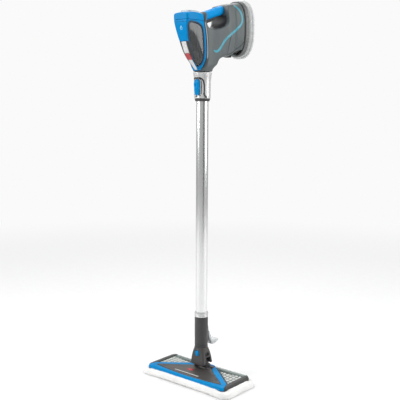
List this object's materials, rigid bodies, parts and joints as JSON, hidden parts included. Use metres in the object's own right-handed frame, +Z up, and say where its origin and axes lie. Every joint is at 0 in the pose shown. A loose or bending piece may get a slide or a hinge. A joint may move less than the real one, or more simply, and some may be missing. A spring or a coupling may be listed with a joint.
{
  "type": "steam mop",
  "caption": "Upright steam mop: a hand-held steamer with clear water tank and loop grip plugs into a metal wand on a two-axis swivel over a wide rectangular pad.",
  "frame": {"origin": "on the floor under the wand's axis, at the underside of the mop pad", "axes": "+Z up along the wand, -Y towards the front of the mop (the water tank's side), X across the pad"},
  "size_m": [0.332, 0.273, 1.128],
  "materials": {
    "microfibre": "white looped microfibre",
    "hook_strip": "hook strip",
    "dark_plastic": "fine matte texture",
    "deck_grey": "satin",
    "body_grey": "satin",
    "black_plastic": "matte",
    "blue_gloss": "gloss",
    "grip_blue": "satin, soft touch",
    "clear_plastic": "clear moulded plastic",
    "flange_clear": "frosted translucent plastic",
    "smoke_plastic": "smoke-tinted clear plastic",
    "rib_plastic": "pale moulded ribs",
    "silver_gloss": "silver gloss",
    "aluminium": "satin anodised",
    "cast_aluminium": "as cast",
    "steel": "ground",
    "brass": "machined",
    "rubber": "matte",
    "red_gloss": "gloss",
    "hose_clear": "silicone",
    "board_green": "solder mask"
  },
  "bodies": {
    "head": {"mop_pad": "microfibre", "hook_strip_front": "hook_strip", "hook_strip_rear": "hook_strip", "sole_plate": "dark_plastic", "steam_manifold": "steel", "end_cap_right": "dark_plastic", "end_cap_left": "dark_plastic", "blue_frame": "blue_gloss", "window_right": "clear_plastic", "window_left": "clear_plastic", "grille_right": "rib_plastic", "grille_left": "rib_plastic", "head_cover": "deck_grey", "head_badge": "red_gloss", "tilt_pin": "steel"},
    "yoke": {"swivel_yoke": "dark_plastic", "roll_pin": "steel"},
    "neck": {"neck_front": "deck_grey", "neck_rear": "deck_grey"},
    "neck_button": {"neck_button": "blue_gloss"},
    "wand": {"lower_wand": "dark_plastic", "hook_bracket": "dark_plastic", "spigot_seal": "rubber", "lower_ring": "silver_gloss", "wand_tube": "aluminium", "steam_line": "hose_clear", "upper_collar": "silver_gloss", "collar_plate": "dark_plastic", "collar_ring": "dark_plastic"},
    "cord_hook": {"cord_hook": "silver_gloss"},
    "collar_button": {"collar_button": "blue_gloss"},
    "steamer": {"tank_frame": "blue_gloss", "water_tank": "smoke_plastic", "tank_end_cap": "blue_gloss", "front_trim": "silver_gloss", "front_badge": "red_gloss", "housing_right": "body_grey", "housing_left": "body_grey", "grip": "grip_blue", "trigger_pin": "steel", "trigger_switch": "black_plastic", "boiler": "cast_aluminium", "thermostat": "black_plastic", "steam_outlet": "brass", "pump": "black_plastic", "feed_hose": "hose_clear", "control_board": "board_green", "nozzle": "dark_plastic", "cord_inlet": "black_plastic", "base_plate": "dark_plastic", "cord_flange": "flange_clear", "base_foot_upper": "rubber", "base_foot_lower": "rubber"},
    "trigger": {"trigger": "black_plastic"},
    "fill_door": {"fill_door": "blue_gloss"}
  },
  "joints": [
    {"name": "head_tilt", "type": "hinge", "parent": "head", "child": "yoke", "pos_m": [0, 0.005, 0.041], "axis": [-1, 0, 0], "range_deg": [0, 55]},
    {"name": "head_roll", "type": "hinge", "parent": "yoke", "child": "neck", "pos_m": [0, 0.005, 0.06], "axis": [0, 1, 0], "range_deg": [-35, 35]},
    {"name": "neck_button_press", "type": "slide", "parent": "neck", "child": "neck_button", "axis": [0, 1, 0], "range_m": [0, 0.002], "stiffness_N_per_m": 800, "springref_m": -0.001},
    {"name": "wand_lift", "type": "slide", "parent": "neck", "child": "wand", "axis": [0, 0, 1], "range_m": [0, 0.02]},
    {"name": "hook_turn", "type": "hinge", "parent": "wand", "child": "cord_hook", "pos_m": [0, 0.027, 0.132], "axis": [0, 1, 0], "range_deg": [0, 180]},
    {"name": "collar_button_press", "type": "slide", "parent": "wand", "child": "collar_button", "axis": [0, 1, 0], "range_m": [0, 0.0015], "stiffness_N_per_m": 1200, "springref_m": -0.001},
    {"name": "steamer_lift", "type": "slide", "parent": "wand", "child": "steamer", "axis": [0, 0, 1], "range_m": [0, 0.06]},
    {"name": "trigger_pull", "type": "hinge", "parent": "steamer", "child": "trigger", "pos_m": [0, 0.00747, 1.06237], "axis": [1, 0, 0], "range_deg": [0, 8], "stiffness_Nm_per_rad": 1.2, "springref_deg": -2.86},
    {"name": "fill_door_swing", "type": "hinge", "parent": "steamer", "child": "fill_door", "pos_m": [0, -0.0953, 1.04], "axis": [-1, 0, 0], "range_deg": [0, 95]}
  ]
}
